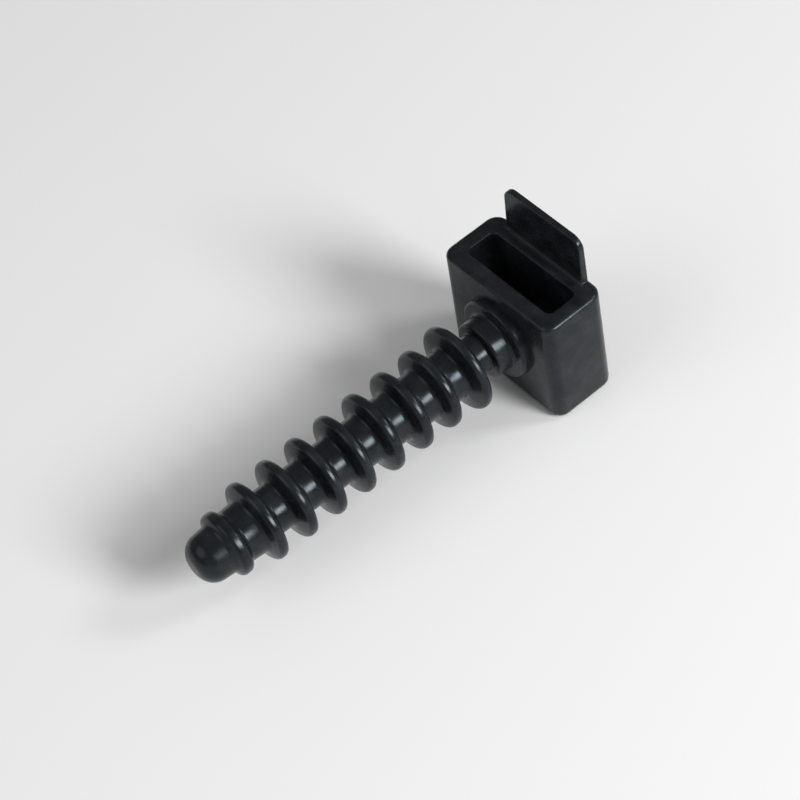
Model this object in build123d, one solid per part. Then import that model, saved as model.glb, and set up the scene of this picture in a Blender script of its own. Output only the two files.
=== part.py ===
from build123d import *
import os

# Cable tie wall plug, one moulded piece. Sizes in millimetres.
# X runs along the shank, from the nose to the head. Z runs along the slot that the tie passes through.
# The origin is on the shank axis, at the head's face that seats against the wall.

# Ribs on the shank
rib_count = 9
rib_pitch = 3.61
rib_crest_thickness = 0.95
rib_root_thickness = 1.7
rib_crest_round = 0.46
tip_rib_radius = 3.44
first_full_rib_radius = 4.27
rib_radius_growth = 0.012
last_rib_radius = 4.69

# Body of the shank between the ribs, and its nose
core_front_radius = 2.45
core_radius_growth = 0.05
neck_radius = 2.15
nose_tip_radius = 2.43
nose_back_radius = 2.98
nose_length = 4.0
nose_round = 1.9

# Neck between the last rib and the head
neck_gap = 2.7
neck_foot_round = 0.2
boss_radius = 3.1
boss_length = 1.35
boss_round = 0.35
pad_front_radius = 4.55
pad_back_radius = 4.75
pad_thickness = 1.45
pad_round = 0.35
pad_foot_round = 0.35

# Longest straight step along a rounding of the shank
arc_step = 0.55

# Slot for the tie, and the walls around it
slot_width = 11.8
slot_gap = 3.5
slot_corner_round = 0.6
back_wall = 1.85
front_wall = 2.1
side_wall = 1.75
side_draft = 0.25
head_height = 13.4
shank_above_middle = 0.25
front_corner_round = 1.5
back_corner_round = 1.25
head_top_round = 0.5
head_bottom_round = 0.9
slot_mouth_bevel = 0.25

# Tab that stands up from the front wall, behind the tied cables
tab_height = 5.5
tab_side_inset = 2.25
tab_top_thickness = 0.65
tab_base_thickness = 0.9
tab_side_draft = 0.1
tab_corner_round = 1.3
tab_edge_round = 0.15
tab_foot_round = 0.65
tab_end_foot_round = 0.3
tab_foot_margin = 0.1

# Places worked out from the sizes
head_width = slot_width + 2 * side_wall
head_depth = back_wall + slot_gap + front_wall
head_top = head_height / 2 - shank_above_middle
head_bottom = head_top - head_height
boss_front = -(pad_thickness + boss_length)
last_rib_x = boss_front - neck_gap
first_rib_x = last_rib_x - (rib_count - 1) * rib_pitch
nose_x = first_rib_x - nose_length
second_rib_x = first_rib_x + rib_pitch
shank_root = back_wall / 2
tab_root = front_wall / 2


def rib_places():
    """Each rib's place along the shank, with its crest radius."""
    places = []
    for number in range(rib_count):
        x = first_rib_x + number * rib_pitch
        if number == 0:
            radius = tip_rib_radius
        elif number == rib_count - 1:
            radius = last_rib_radius
        else:
            radius = first_full_rib_radius + (number - 1) * rib_radius_growth
        places.append((x, radius))
    return places


def body_radius(x):
    """Radius of the shank between its ribs: a nose that widens up to the second rib, a core that starts
    thinner and grows a little at each rib, and a neck."""
    if x > last_rib_x:
        return neck_radius
    if x > second_rib_x:
        ribs_passed = (x - second_rib_x) // rib_pitch
        return core_front_radius + ribs_passed * core_radius_growth
    share = (x - nose_x) / (second_rib_x - nose_x)
    return nose_tip_radius + share * (nose_back_radius - nose_tip_radius)


def shank_outline():
    """The shank's outline from the nose to the head, as corners that each have a rounding or none."""
    corners = [(nose_x, nose_tip_radius, nose_round)]
    for x, radius in rib_places():
        front = x - rib_root_thickness / 2
        back = x + rib_root_thickness / 2
        corners.append((front, body_radius(front), 0))
        corners.append((x - rib_crest_thickness / 2, radius, rib_crest_round))
        corners.append((x + rib_crest_thickness / 2, radius, rib_crest_round))
        corners.append((back, body_radius(back), 0))
    corners.append((boss_front, neck_radius, neck_foot_round))
    corners.append((boss_front, boss_radius, boss_round))
    corners.append((-pad_thickness, boss_radius, pad_foot_round))
    corners.append((-pad_thickness, pad_front_radius, pad_round))
    return corners


def in_steps(arc):
    """An arc as short straight steps, because so many true arcs would make a very heavy mesh."""
    count = max(1, round(arc.length / arc_step))
    return Polyline([arc @ (step / count) for step in range(count + 1)]).edges()


def make_shank():
    """Nose, ribs, core, boss and pad, turned about the shank axis and rooted in the head's back wall."""
    corners = shank_outline()
    pad_slope = (pad_back_radius - pad_front_radius) / pad_thickness
    root = (shank_root, pad_back_radius + pad_slope * shank_root)
    points = [(nose_x, 0)] + [(x, radius) for x, radius, rounding in corners] + [root]
    outline = FilletPolyline(*points, radius=[rounding for x, radius, rounding in corners])
    closing = Polyline(root, (shank_root, 0), (nose_x, 0))
    edges = closing.edges() + outline.edges().filter_by(GeomType.LINE)
    for arc in outline.edges().filter_by(GeomType.CIRCLE):
        edges += in_steps(arc)
    return revolve(make_face(edges), Axis.X)


def slot_cutter():
    """The slot's space, from the head's bottom up past the top of the tab."""
    middle = back_wall + slot_gap / 2
    plan = Pos(middle, 0) * RectangleRounded(slot_gap, slot_width, slot_corner_round)
    return Pos(0, 0, head_bottom) * extrude(plan, head_height + tab_height)


def round_corners(block):
    """The block with its upright corners rounded, those at the back and then those at the front."""
    back = block.edges().group_by(Axis.X)[0]
    block = fillet(back.group_by(Axis.Z)[1], back_corner_round)
    front = block.edges().group_by(Axis.X)[-1]
    return fillet(front.group_by(Axis.Z)[1], front_corner_round)


def make_block():
    """The head's block, a little wider at its bottom, with the slot through it, whose mouths are bevelled."""
    top_half = head_width / 2
    bottom_half = top_half + side_draft
    view = Polyline(
        (-bottom_half, head_bottom),
        (bottom_half, head_bottom),
        (top_half, head_top),
        (-top_half, head_top),
        close=True,
    )
    block = round_corners(extrude(Plane.YZ * make_face(view.edges()), head_depth))
    block = fillet(block.edges().group_by(Axis.Z)[-1], head_top_round)
    block = fillet(block.edges().group_by(Axis.Z)[0], head_bottom_round)
    slotted = block - slot_cutter()
    mouths = new_edges(block, slot_cutter(), combined=slotted).group_by(Axis.Z)
    return chamfer(mouths[0] + mouths[-1], slot_mouth_bevel)


def make_tab():
    """The tab: its side view and its front view, each pushed through, and what they share."""
    top = head_top + tab_height
    sunk = head_top - tab_root
    inner_base = head_depth - tab_base_thickness
    foot_end = inner_base - tab_foot_round - tab_foot_margin
    side = FilletPolyline(
        (head_depth, sunk),
        (head_depth, top),
        (head_depth - tab_top_thickness, top),
        (inner_base, head_top),
        (foot_end, head_top),
        (foot_end, sunk),
        radius=[0, tab_edge_round, tab_edge_round, tab_foot_round, 0, 0],
        close=True,
    )
    half = head_width / 2 - tab_side_inset
    reach = half + tab_end_foot_round + tab_foot_margin
    front = FilletPolyline(
        (-reach, sunk),
        (-reach, head_top),
        (-half, head_top),
        (-half + tab_side_draft, top),
        (half - tab_side_draft, top),
        (half, head_top),
        (reach, head_top),
        (reach, sunk),
        radius=[0, 0, tab_end_foot_round, tab_corner_round, tab_corner_round, tab_end_foot_round, 0, 0],
        close=True,
    )
    side_body = extrude(Plane.XZ * make_face(side.edges()), reach, both=True)
    front_body = extrude(Plane.YZ * make_face(front.edges()), head_depth)
    return side_body & front_body


plug = make_block() + make_tab() - slot_cutter() + make_shank()

os.makedirs("parts", exist_ok=True)
export_step(plug, "parts/plug_body.step")
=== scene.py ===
import math

import bmesh
import bpy
from mathutils import Matrix, Vector


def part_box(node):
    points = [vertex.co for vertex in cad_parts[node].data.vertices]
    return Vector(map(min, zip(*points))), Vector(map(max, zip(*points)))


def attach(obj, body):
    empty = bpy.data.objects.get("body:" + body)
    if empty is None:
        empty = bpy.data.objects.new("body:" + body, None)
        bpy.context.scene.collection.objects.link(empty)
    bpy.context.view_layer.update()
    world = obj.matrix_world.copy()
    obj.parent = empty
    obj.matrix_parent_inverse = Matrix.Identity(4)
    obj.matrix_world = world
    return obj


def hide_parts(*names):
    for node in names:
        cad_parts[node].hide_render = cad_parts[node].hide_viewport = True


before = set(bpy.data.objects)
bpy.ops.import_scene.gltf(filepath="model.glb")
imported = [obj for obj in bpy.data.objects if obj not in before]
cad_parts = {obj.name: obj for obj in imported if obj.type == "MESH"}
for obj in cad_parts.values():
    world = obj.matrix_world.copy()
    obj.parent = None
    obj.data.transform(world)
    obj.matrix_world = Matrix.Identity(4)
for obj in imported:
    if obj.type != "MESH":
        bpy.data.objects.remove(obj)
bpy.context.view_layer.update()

mm = 0.001               # the plug is modelled in millimetres and brought to metres at the end
plugLow, plugHigh = [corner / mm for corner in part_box("plug_body")]
joinWithin = 0.0005      # points nearer than this become one, in millimetres as the next two
samePlace = 0.001        # points nearer than this are the same corner
touching = 0.01          # a side nearer than this to a place lies on it
alongAxis = 0.9          # an edge with more than this of its direction on an axis runs along it


# Small helpers

def clearSelection():
    if bpy.context.mode != "OBJECT":
        bpy.ops.object.mode_set(mode="OBJECT")
    bpy.ops.object.select_all(action="DESELECT")
    bpy.context.view_layer.objects.active = None


def makeActive(piece):
    clearSelection()
    piece.select_set(True)
    bpy.context.view_layer.objects.active = piece


def startEdit(piece, kind="EDGE"):
    makeActive(piece)
    bpy.ops.object.mode_set(mode="EDIT")
    bpy.ops.mesh.select_mode(type=kind)
    bpy.ops.mesh.select_all(action="DESELECT")


def endEdit():
    bpy.ops.object.mode_set(mode="OBJECT")


def pickEdges(piece, isWanted):
    # picks the edges whose middle and direction pass the test
    bm = bmesh.from_edit_mesh(piece.data)
    for edge in bm.edges:
        start, end = [vert.co for vert in edge.verts]
        edge.select_set(isWanted((start + end) / 2, (end - start).normalized()))
    bm.select_flush_mode()
    bmesh.update_edit_mesh(piece.data)


def pickVerts(piece, isWanted):
    bm = bmesh.from_edit_mesh(piece.data)
    for vert in bm.verts:
        vert.select_set(isWanted(vert.co))
    bm.select_flush_mode()
    bmesh.update_edit_mesh(piece.data)


def addBox(name, low, high):
    clearSelection()
    size = [b - a for a, b in zip(low, high)]
    middle = [(a + b) / 2 for a, b in zip(low, high)]
    bpy.ops.mesh.primitive_cube_add(size=1, location=middle, scale=size)
    box = bpy.context.object
    box.name = name
    bpy.ops.object.transform_apply(location=True, rotation=True, scale=True)
    return box


def applyBoolean(piece, tool, operation):
    makeActive(piece)
    cut = piece.modifiers.new(operation.lower(), "BOOLEAN")
    cut.operation = operation
    cut.solver = "EXACT"
    cut.object = tool
    bpy.ops.object.modifier_apply(modifier=cut.name)
    bpy.data.objects.remove(tool, do_unlink=True)


# Shank: nose, ribs, core, boss and pad, drawn as one outline and spun about X

shank = {
    "ribCount": 9,
    "ribPitch": 3.61,
    "crestThickness": 0.95,
    "rootThickness": 1.7,
    "crestRound": 0.46,
    "rootRound": 0.5,
    "tipRibRadius": 3.44,
    "firstFullRibRadius": 4.27,
    "ribRadiusGrowth": 0.012,
    "lastRibRadius": 4.69,
    "coreFrontRadius": 2.45,
    "coreRadiusGrowth": 0.05,
    "neckRadius": 2.15,
    "noseTipRadius": 2.43,
    "noseBackRadius": 2.98,
    "noseRound": 1.9,
    "neckGap": 2.7,
    "neckFootRound": 0.2,
    "bossRadius": 3.1,
    "bossLength": 1.95,
    "bossRound": 0.35,
    "padFrontRadius": 4.4,
    "padBackRadius": 4.5,
    "padThickness": 0.85,
    "padRound": 0.35,
    "padFootRound": 0.35,
    "rootDepth": 0.9,
    "spinSteps": 112,
    "roundSegments": 6,
    "noseSegments": 14,
}


def shankCorners():
    # (x, radius, rounding) of each corner, from the nose to the pad
    s = shank
    bossFront = -(s["padThickness"] + s["bossLength"])
    lastRibX = bossFront - s["neckGap"]
    firstRibX = lastRibX - (s["ribCount"] - 1) * s["ribPitch"]
    secondRibX = firstRibX + s["ribPitch"]
    noseX = plugLow.x

    def bodyRadius(x):
        if x > lastRibX:
            return s["neckRadius"]
        if x > secondRibX:
            ribsPassed = (x - secondRibX) // s["ribPitch"]
            return s["coreFrontRadius"] + ribsPassed * s["coreRadiusGrowth"]
        share = (x - noseX) / (secondRibX - noseX)
        return s["noseTipRadius"] + share * (s["noseBackRadius"] - s["noseTipRadius"])

    corners = [(noseX, 0, 0), (noseX, s["noseTipRadius"], s["noseRound"])]
    for number in range(s["ribCount"]):
        x = firstRibX + number * s["ribPitch"]
        radius = s["firstFullRibRadius"] + (number - 1) * s["ribRadiusGrowth"]
        if number == 0:
            radius = s["tipRibRadius"]
        if number == s["ribCount"] - 1:
            radius = s["lastRibRadius"]
        front = x - s["rootThickness"] / 2
        back = x + s["rootThickness"] / 2
        corners.append((front, bodyRadius(front), s["rootRound"]))
        corners.append((x - s["crestThickness"] / 2, radius, s["crestRound"]))
        corners.append((x + s["crestThickness"] / 2, radius, s["crestRound"]))
        corners.append((back, bodyRadius(back), s["rootRound"]))
    corners.append((bossFront, s["neckRadius"], s["neckFootRound"]))
    corners.append((bossFront, s["bossRadius"], s["bossRound"]))
    corners.append((-s["padThickness"], s["bossRadius"], s["padFootRound"]))
    corners.append((-s["padThickness"], s["padFrontRadius"], s["padRound"]))
    padSlope = (s["padBackRadius"] - s["padFrontRadius"]) / s["padThickness"]
    corners.append((s["rootDepth"], s["padBackRadius"] + padSlope * s["rootDepth"], 0))
    corners.append((s["rootDepth"], 0, 0))
    return [(Vector((x, 0, radius)), rounding) for x, radius, rounding in corners]


def makeShank():
    corners = shankCorners()
    places = [place for place, rounding in corners]
    clearSelection()
    bpy.ops.mesh.primitive_plane_add(size=1, location=places[0])
    piece = bpy.context.object
    piece.name = "ribbed_shank"
    bpy.ops.object.transform_apply(location=True, rotation=True, scale=True)
    startEdit(piece, "VERT")
    bpy.ops.mesh.select_all(action="SELECT")
    bpy.ops.mesh.merge(type="CENTER")
    for before, after in zip(places, places[1:]):
        bpy.ops.mesh.extrude_region_move(TRANSFORM_OT_translate={"value": after - before})
    # each corner is bevelled by its own rounding's run along the two sides
    for before, (corner, rounding), after in zip(places, corners[1:], places[2:]):
        if rounding == 0:
            continue
        turn = (before - corner).angle(after - corner)
        isNose = rounding == shank["noseRound"]
        pickVerts(piece, lambda place: (place - corner).length < samePlace)
        bpy.ops.mesh.bevel(
            offset_type="ABSOLUTE", offset=rounding / math.tan(turn / 2),
            segments=shank["noseSegments"] if isNose else shank["roundSegments"],
            profile=0.5, affect="VERTICES", clamp_overlap=False)
    bpy.ops.mesh.select_all(action="SELECT")
    bpy.ops.mesh.spin(steps=shank["spinSteps"], angle=2 * math.pi, center=(0, 0, 0), axis=(1, 0, 0))
    bpy.ops.mesh.select_all(action="SELECT")
    bpy.ops.mesh.remove_doubles(threshold=joinWithin)
    bpy.ops.mesh.normals_make_consistent(inside=False)
    endEdit()
    print("shank", len(piece.data.vertices), "points")
    return piece


# Head: a block with the tie slot through it and a tab that stands on its front wall

head = {
    "tabHeight": 5.5,
    "slotWidth": 11.8,
    "slotGap": 3.5,
    "slotCornerRound": 0.6,
    "backWall": 1.85,
    "sideWall": 1.75,
    "sideDraft": 0.25,
    "frontCornerRound": 1.5,
    "backCornerRound": 1.25,
    "topRound": 0.5,
    "bottomRound": 0.9,
    "mouthRound": 0.25,
    "tabSideInset": 2.25,
    "tabTopThickness": 0.65,
    "tabBaseThickness": 0.9,
    "tabSideDraft": 0.1,
    "tabCornerRound": 1.3,
    "tabEdgeRound": 0.15,
    "tabFootRound": 0.6,
    "tabEndFootRound": 0.3,
    "overlap": 1,            # how far the slot's cutter stands out, and the tab is sunk
    "flatAngle": 1,          # degrees, under which faces are joined
    "sharpAngle": 25,        # degrees, over which an edge is rounded
    "smoothAngle": 32,       # degrees, under which an edge is shaded smooth
    "cornerSegments": 14,
    "edgeSegments": 5,
}


def makeHead():
    h = head
    headTop = plugHigh.z - h["tabHeight"]
    halfTop = h["slotWidth"] / 2 + h["sideWall"]
    halfBottom = halfTop + h["sideDraft"]
    block = addBox("plug_head", (0, -halfTop, plugLow.z), (plugHigh.x, halfTop, headTop))
    startEdit(block)
    # the bottom is a little wider than the top
    bm = bmesh.from_edit_mesh(block.data)
    for vert in bm.verts:
        if vert.co.z < 0:
            vert.co.y *= halfBottom / halfTop
    bmesh.update_edit_mesh(block.data)
    middleX = plugHigh.x / 2
    pickEdges(block, lambda mid, way: abs(way.z) > alongAxis and mid.x > middleX)
    bpy.ops.mesh.bevel(offset=h["frontCornerRound"], segments=h["cornerSegments"], profile=0.5)
    pickEdges(block, lambda mid, way: abs(way.z) > alongAxis and mid.x < touching)
    bpy.ops.mesh.bevel(offset=h["backCornerRound"], segments=h["edgeSegments"] + 1, profile=0.5)
    endEdit()

    halfSlot = h["slotWidth"] / 2
    slotFront = h["backWall"] + h["slotGap"]
    cutter = addBox(
        "slot_cutter", (h["backWall"], -halfSlot, plugLow.z - h["overlap"]),
        (slotFront, halfSlot, headTop + h["overlap"]))
    startEdit(cutter)
    pickEdges(cutter, lambda mid, way: abs(way.z) > alongAxis)
    bpy.ops.mesh.bevel(offset=h["slotCornerRound"], segments=h["edgeSegments"] + 1, profile=0.5)
    endEdit()
    applyBoolean(block, cutter, "DIFFERENCE")

    halfTab = halfTop - h["tabSideInset"]
    tab = addBox(
        "tab", (plugHigh.x - h["tabBaseThickness"], -halfTab, headTop - h["overlap"]),
        (plugHigh.x, halfTab, plugHigh.z))
    startEdit(tab, "VERT")
    # the top is thinner than the foot, and a little narrower
    bm = bmesh.from_edit_mesh(tab.data)
    for vert in bm.verts:
        if vert.co.z > headTop:
            vert.co.y *= (halfTab - h["tabSideDraft"]) / halfTab
            if vert.co.x < plugHigh.x - touching:
                vert.co.x = plugHigh.x - h["tabTopThickness"]
    bmesh.update_edit_mesh(tab.data)
    bpy.ops.mesh.select_mode(type="EDGE")
    pickEdges(tab, lambda mid, way: abs(way.x) > alongAxis and mid.z > headTop)
    bpy.ops.mesh.bevel(offset=h["tabCornerRound"], segments=h["cornerSegments"], profile=0.5)
    endEdit()
    applyBoolean(block, tab, "UNION")

    startEdit(block)
    bpy.ops.mesh.select_all(action="SELECT")
    bpy.ops.mesh.remove_doubles(threshold=samePlace)
    bpy.ops.mesh.dissolve_limited(angle_limit=math.radians(h["flatAngle"]))
    endEdit()
    roundHeadEdges(block, headTop, halfSlot, slotFront, halfTab)
    print("head", len(block.data.vertices), "points", len(block.data.polygons), "faces")
    return block


def roundHeadEdges(block, headTop, halfSlot, slotFront, halfTab):
    # every sharp edge gets the rounding of its place as a weight, and one bevel rounds them all
    h = head
    widest = max(h["bottomRound"], h["tabFootRound"])
    near = 0.1               # millimetres

    def roundingOf(mid):
        if mid.z > headTop + near:
            return h["tabEdgeRound"]
        if headTop - near > mid.z > plugLow.z + near:
            return 0
        if h["backWall"] - near < mid.x < slotFront + near and abs(mid.y) < halfSlot + near:
            return h["mouthRound"]
        if mid.z > headTop - near and mid.x > slotFront + near and abs(mid.y) < halfTab + near:
            return h["tabFootRound"] if abs(mid.y) < near else h["tabEndFootRound"]
        return h["topRound"] if mid.z > 0 else h["bottomRound"]

    startEdit(block)
    bm = bmesh.from_edit_mesh(block.data)
    weight = bm.edges.layers.float.new("bevel_weight_edge")
    for edge in bm.edges:
        if edge.calc_face_angle(0) > math.radians(h["sharpAngle"]):
            edge[weight] = roundingOf((edge.verts[0].co + edge.verts[1].co) / 2) / widest
    bmesh.update_edit_mesh(block.data)
    endEdit()
    rounding = block.modifiers.new("edge_rounding", "BEVEL")
    rounding.limit_method = "WEIGHT"
    rounding.width = widest
    rounding.segments = h["edgeSegments"]
    rounding.use_clamp_overlap = False
    rounding.miter_outer = "MITER_SHARP"
    makeActive(block)
    bpy.ops.object.modifier_apply(modifier=rounding.name)


def makePlug():
    plug = makeHead()
    applyBoolean(plug, makeShank(), "UNION")
    plug.name = "moulded_plug"
    plug.data.name = "moulded_plug"
    startEdit(plug)
    bpy.ops.mesh.select_all(action="SELECT")
    bpy.ops.mesh.remove_doubles(threshold=joinWithin)
    bpy.ops.transform.resize(value=(mm, mm, mm), center_override=(0, 0, 0))
    endEdit()
    bpy.ops.object.shade_smooth_by_angle(angle=math.radians(head["smoothAngle"]))
    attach(plug, "root")
    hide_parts("plug_body")
    print("plug", len(plug.data.vertices), "points", len(plug.data.polygons), "faces")
    return plug


plugPiece = makePlug()


# Shader maths as plain expressions

class Wire:
    # one output socket of a node
    def __init__(self, shader, socket):
        self.shader = shader
        self.socket = socket

    def maths(self, operation, first, second):
        return self.shader.node("ShaderNodeMath", {"operation": operation}, {0: first, 1: second})

    def __add__(self, other):
        return self.maths("ADD", self, other)

    def __radd__(self, other):
        return self.maths("ADD", other, self)

    def __sub__(self, other):
        return self.maths("SUBTRACT", self, other)

    def __rsub__(self, other):
        return self.maths("SUBTRACT", other, self)

    def __mul__(self, other):
        return self.maths("MULTIPLY", self, other)

    def __rmul__(self, other):
        return self.maths("MULTIPLY", other, self)


class Shader:
    # the nodes of one material or world
    def __init__(self, owner):
        owner.use_nodes = True
        self.tree = owner.node_tree
        self.tree.nodes.clear()

    def node(self, kind, settings=None, values=None, output=0):
        item = self.tree.nodes.new(kind)
        for name, value in (settings or {}).items():
            setattr(item, name, value)
        for name, value in (values or {}).items():
            if isinstance(value, Wire):
                self.tree.links.new(value.socket, item.inputs[name])
            else:
                item.inputs[name].default_value = value
        return Wire(self, item.outputs[output]) if len(item.outputs) else item

    def noise(self, place, size, detail, shift=0.0, fineness=0.55):
        # noise with grains about size metres across, shifted so that no two patterns are alike
        moved = self.node(
            "ShaderNodeVectorMath", {"operation": "ADD"}, {0: place, 1: (shift, shift, shift)})
        return self.node(
            "ShaderNodeTexNoise", {"noise_dimensions": "3D"},
            {"Vector": moved, "Scale": 1 / size, "Detail": detail, "Roughness": fineness}, "Fac")

    def ramp(self, value, low, high):
        # 0 below low, 1 above high
        return self.node(
            "ShaderNodeMapRange", {"clamp": True},
            {"Value": value, "From Min": low, "From Max": high})


# Black nylon, moulded: near-black and satin, with a faint mottling and an uneven skin

nylon = {
    "colour": (0.0075, 0.0088, 0.0106, 1),
    "paleColour": (0.0215, 0.024, 0.0272, 1),
    "ior": 1.33,
    "specularTint": (0.8, 0.93, 1, 1),
    "roughness": 0.24,
    "roughnessSpread": 0.14,
    "grainSize": 0.00035,    # sizes and depths in metres
    "grainDepth": 0.000006,
    "grainDetail": 2,
    "grainShift": 0.31,
    "swellSize": 0.0024,
    "swellDepth": 0.00005,
    "swellDetail": 1,
    "swellShift": 0.77,
    "cloudSize": 0.0017,
    "cloudDetail": 3,
    "cloudLow": 0.35,        # the noise at which the colour starts to turn pale
    "cloudHigh": 0.8,        # and at which it is fully pale
    "noiseMiddle": 0.5,
}


def makeNylon():
    n = nylon
    material = bpy.data.materials.new("black_nylon_skin")
    shader = Shader(material)
    place = shader.node("ShaderNodeTexCoord", output="Object")
    cloud = shader.noise(place, n["cloudSize"], n["cloudDetail"])
    grain = shader.noise(place, n["grainSize"], n["grainDetail"], n["grainShift"])
    swell = shader.noise(place, n["swellSize"], n["swellDetail"], n["swellShift"])
    paleness = shader.ramp(cloud, n["cloudLow"], n["cloudHigh"])
    # a Mix node's colours are its inputs 6 and 7 and its output 2
    colour = shader.node(
        "ShaderNodeMix", {"data_type": "RGBA"},
        {"Factor": paleness, 6: n["colour"], 7: n["paleColour"]}, 2)
    middle, spread = n["noiseMiddle"], n["roughnessSpread"]
    roughness = n["roughness"] + (cloud - middle) * spread + (grain - middle) * spread
    broad = shader.node(
        "ShaderNodeBump", None, {"Height": swell, "Distance": n["swellDepth"], "Strength": 1.0})
    fine = shader.node(
        "ShaderNodeBump", None,
        {"Height": grain, "Distance": n["grainDepth"], "Strength": 1.0, "Normal": broad})
    skin = shader.node(
        "ShaderNodeBsdfPrincipled", None,
        {"Base Color": colour, "Roughness": roughness, "Normal": fine, "IOR": n["ior"],
         "Specular Tint": n["specularTint"]})
    shader.node("ShaderNodeOutputMaterial", None, {"Surface": skin})
    return material


plugPiece.data.materials.clear()
plugPiece.data.materials.append(makeNylon())
print("black nylon is on the plug")


# Floor, world and lamps

studio = {
    "floorColour": (0.97, 0.97, 0.97, 1),
    "floorSize": 3.0,
    "worldColour": (1, 1, 1, 1),
    "worldLevel": 0.22,
    "lampDistance": 0.6,     # metres from what the camera looks at
}

# each lamp is a disc: its width as seen from the plug, its bearing from +X and its height above
# the floor are in degrees
lamps = {
    "low_window": {"width": 22, "azimuth": -71, "elevation": 30, "radiance": 22.0},
    "high_window": {"width": 14, "azimuth": -33, "elevation": 38, "radiance": 12.0},
    "side_window": {"width": 24, "azimuth": -90, "elevation": 40, "radiance": 1.2},
    "back_fill": {"width": 44, "azimuth": 165, "elevation": 42, "radiance": 1.1},
}


def makeFloor():
    clearSelection()
    bpy.ops.mesh.primitive_plane_add(size=studio["floorSize"], location=(0, 0, plugLow.z * mm))
    floor = bpy.context.object
    floor.name = "studio_floor"
    material = bpy.data.materials.new("pale_floor")
    shader = Shader(material)
    matt = shader.node("ShaderNodeBsdfDiffuse", None, {"Color": studio["floorColour"]})
    shader.node("ShaderNodeOutputMaterial", None, {"Surface": matt})
    floor.data.materials.append(material)


def makeWorld():
    world = bpy.data.worlds.new("studio_world")
    bpy.context.scene.world = world
    shader = Shader(world)
    light = shader.node(
        "ShaderNodeBackground", None,
        {"Color": studio["worldColour"], "Strength": studio["worldLevel"]})
    shader.node("ShaderNodeOutputWorld", None, {"Surface": light})


def wayTo(azimuth, elevation):
    azimuth, elevation = math.radians(azimuth), math.radians(elevation)
    return Vector((
        math.cos(elevation) * math.cos(azimuth),
        math.cos(elevation) * math.sin(azimuth),
        math.sin(elevation)))


def facing(towards, distance):
    # the place and turn of what stands that way from the camera's target and looks back at it
    turn = towards.to_track_quat("Z", "Y").to_matrix().to_4x4()
    return Matrix.Translation(Vector(view["target"]) + towards * distance) @ turn


def addLamp(name, width, azimuth, elevation, radiance):
    # a disc whose face has the given radiance
    radius = studio["lampDistance"] * math.tan(math.radians(width / 2))
    lamp = bpy.data.lights.new(name, "AREA")
    lamp.shape = "DISK"
    lamp.size = 2 * radius
    lamp.energy = radiance * math.pi * math.pi * radius ** 2
    disc = bpy.data.objects.new(name, lamp)
    bpy.context.scene.collection.objects.link(disc)
    disc.matrix_world = facing(wayTo(azimuth, elevation), studio["lampDistance"])


# Camera at the photograph's angle

view = {
    "target": (-0.01282, -0.00027, 0.00196),
    "distance": 0.2556,
    "azimuth": -121.56,      # degrees from +X, seen from above
    "elevation": 50.81,
    "roll": -11.77,
    "lens": 120.75,          # millimetres, as the sensor's width
    "sensorWidth": 36,
    "clipStart": 0.01,
}


def placeCamera():
    lens = bpy.data.cameras.new("photo_camera")
    lens.lens = view["lens"]
    lens.sensor_width = view["sensorWidth"]
    lens.clip_start = view["clipStart"]
    camera = bpy.data.objects.new("photo_camera", lens)
    bpy.context.scene.collection.objects.link(camera)
    level = facing(wayTo(view["azimuth"], view["elevation"]), view["distance"])
    camera.matrix_world = level @ Matrix.Rotation(math.radians(view["roll"]), 4, "Z")
    bpy.context.scene.camera = camera


makeFloor()
makeWorld()
for name, lamp in lamps.items():
    addLamp(name, **lamp)
placeCamera()
bpy.context.scene.view_settings.view_transform = "Standard"
print("floor, world, lamps and camera are placed")
